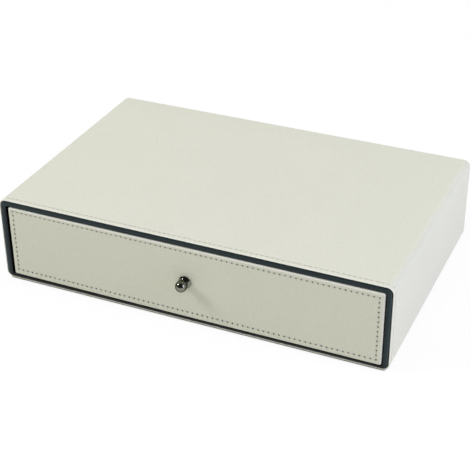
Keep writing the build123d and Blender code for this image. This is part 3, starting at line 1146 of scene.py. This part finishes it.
# Floor paint: matt and slightly warm, so it lifts the undersides without a sheen of its own.
floor_paint, tree, shader, _ = new_material("floor_paint", Roughness=0.9)
glow = add(tree, "ShaderNodeEmission", {"Color": WHITE, "Strength": 1.0})
rays = add(tree, "ShaderNodeLightPath")
seen = add(tree, "ShaderNodeMath", {0: rays.outputs["Is Camera Ray"], 1: rays.outputs["Is Glossy Ray"]},
           operation="MAXIMUM")
contact = add(tree, "ShaderNodeAmbientOcclusion", {"Distance": CONTACT_MM * MM}, samples=16)
paint = add(tree, "ShaderNodeMix", {"Factor": seen.outputs[0], MIX_A: linear("#E6E5DA"),
                                    MIX_B: contact.outputs["AO"]}, data_type="RGBA")
tree.links.new(paint.outputs[2], shader.inputs["Base Color"])
line = add(tree, "ShaderNodeMath", {0: contact.outputs["AO"], 1: CONTACT_POWER}, operation="POWER")
open_floor = add(tree, "ShaderNodeMath", {0: line.outputs[0], 1: FLOOR_GLOW}, operation="MULTIPLY")
share = add(tree, "ShaderNodeMath", {0: seen.outputs[0], 1: open_floor.outputs[0]}, operation="MULTIPLY")
blend = add(tree, "ShaderNodeMixShader", {0: share.outputs[0], 1: shader.outputs[0], 2: glow.outputs[0]})
tree.links.new(blend.outputs[0], tree.nodes["Material Output"].inputs["Surface"])
floor_mesh.materials.append(floor_paint)
print("floor", FLOOR_SIZE, "m wide")

# %% [markdown]
# The world is three rooms in one. As a light it is a tent, brightest overhead and dark at the horizon, which
# keeps the top paler than the front. Mirrors see a dim room with a bright sweep behind instead. The camera,
# and glass if there were any, see plain white.

# %% Light tent
HORIZON_BAND = 0.14
ZENITH = 1.13
DARK_ROOM = 0.04
SWEEP_BEHIND = 0.75
SWEEP_FROM, SWEEP_TO = -0.1, 0.5

world = bpy.data.worlds.new("light_tent")
bpy.context.scene.world = world
world.use_nodes = True
tree = world.node_tree
direction = add(tree, "ShaderNodeTexCoord").outputs["Generated"]
axes = add(tree, "ShaderNodeSeparateXYZ", {"Vector": direction})
roof = add(tree, "ShaderNodeMapRange", {"Value": axes.outputs["Z"], "From Min": HORIZON_BAND,
                                        "From Max": 1.0, "To Min": 0.0, "To Max": ZENITH})
sweep = add(tree, "ShaderNodeMapRange", {"Value": axes.outputs["Y"], "From Min": SWEEP_FROM,
                                         "From Max": SWEEP_TO, "To Min": DARK_ROOM, "To Max": SWEEP_BEHIND})
rays = add(tree, "ShaderNodeLightPath")
tent = tree.nodes["Background"]
tent.inputs["Color"].default_value = WHITE
tree.links.new(roof.outputs["Result"], tent.inputs["Strength"])
mirrored = add(tree, "ShaderNodeBackground", {"Color": WHITE, "Strength": sweep.outputs["Result"]})
white = add(tree, "ShaderNodeBackground", {"Color": WHITE, "Strength": 1.0})
glossy = add(tree, "ShaderNodeMixShader", {0: rays.outputs["Is Glossy Ray"], 1: tent.outputs[0],
                                           2: mirrored.outputs[0]})
through = add(tree, "ShaderNodeMath", {0: rays.outputs["Is Camera Ray"],
                                       1: rays.outputs["Is Transmission Ray"]}, operation="MAXIMUM")
seen = add(tree, "ShaderNodeMixShader", {0: through.outputs[0], 1: glossy.outputs[0], 2: white.outputs[0]})
tree.links.new(seen.outputs[0], tree.nodes["World Output"].inputs["Surface"])
print("tent strength overhead", ZENITH)

# %% [markdown]
# Two soft boxes shape the light. A small one stands far off, high on the left: it gives the knob its
# slanting shadow and, being far, lights both ends of the box alike. A large one near on the right lights
# that side.

# %% Lamps
def softbox(name, place, aim, size, watts, colour):
    """A square area lamp at place, in metres, turned to face aim."""
    lamp = bpy.data.lights.new(name, "AREA")
    lamp.shape, lamp.size, lamp.energy = "SQUARE", size, watts
    lamp.color = linear(colour)[:3]
    holder = bpy.data.objects.new(name, lamp)
    holder.location = place
    holder.rotation_euler = (Vector(aim) - Vector(place)).to_track_quat("-Z", "Y").to_euler()
    bpy.context.scene.collection.objects.link(holder)
    print(name, "at", round((Vector(aim) - Vector(place)).length, 2), "m")


centre = (0, 0, 0.03)
softbox("key_softbox", (-2.1, -1.04, 1.86), centre, 0.8, 38.7, "#F0F0F4")
softbox("right_softbox", (1.5, -0.1, 0.6), centre, 1.2, 17.6, "#D5D6FA")

# %% [markdown]
# ## Camera
#
# The camera's place was solved from the straight edges of the box: their directions fix the viewing angle,
# and how fast they converge fixes the distance and the lens. The box leans half a degree in the frame,
# so the camera is rolled by that much.

# %% Camera
AZIMUTH, ELEVATION, ROLL = (math.radians(a) for a in (24.163, 31.111, -0.52))
DISTANCE = 0.96928
TARGET = Vector((-0.0054768, 0, 0.0172444))
LENS_MM = 93.536
SENSOR_MM = 36.0
CLIP_START, CLIP_END = 0.01, 50

back = Vector((math.sin(AZIMUTH) * math.cos(ELEVATION), -math.cos(AZIMUTH) * math.cos(ELEVATION),
               math.sin(ELEVATION)))
right = Vector((0, 0, 1)).cross(back).normalized()
up = back.cross(right)
rolled_right = right * math.cos(ROLL) + up * math.sin(ROLL)
rolled_up = up * math.cos(ROLL) - right * math.sin(ROLL)
turn = Matrix((rolled_right, rolled_up, back)).transposed().to_4x4()
lens = bpy.data.cameras.new("camera")
lens.lens, lens.sensor_width, lens.sensor_fit = LENS_MM, SENSOR_MM, "HORIZONTAL"
lens.clip_start, lens.clip_end = CLIP_START, CLIP_END
camera = bpy.data.objects.new("camera", lens)
camera.matrix_world = Matrix.Translation(TARGET + back * DISTANCE) @ turn
bpy.context.scene.collection.objects.link(camera)
bpy.context.scene.camera = camera
bpy.context.scene.view_settings.view_transform = "Standard"
print("camera", round(DISTANCE, 2), "m away, lens of", round(LENS_MM, 1), "mm")
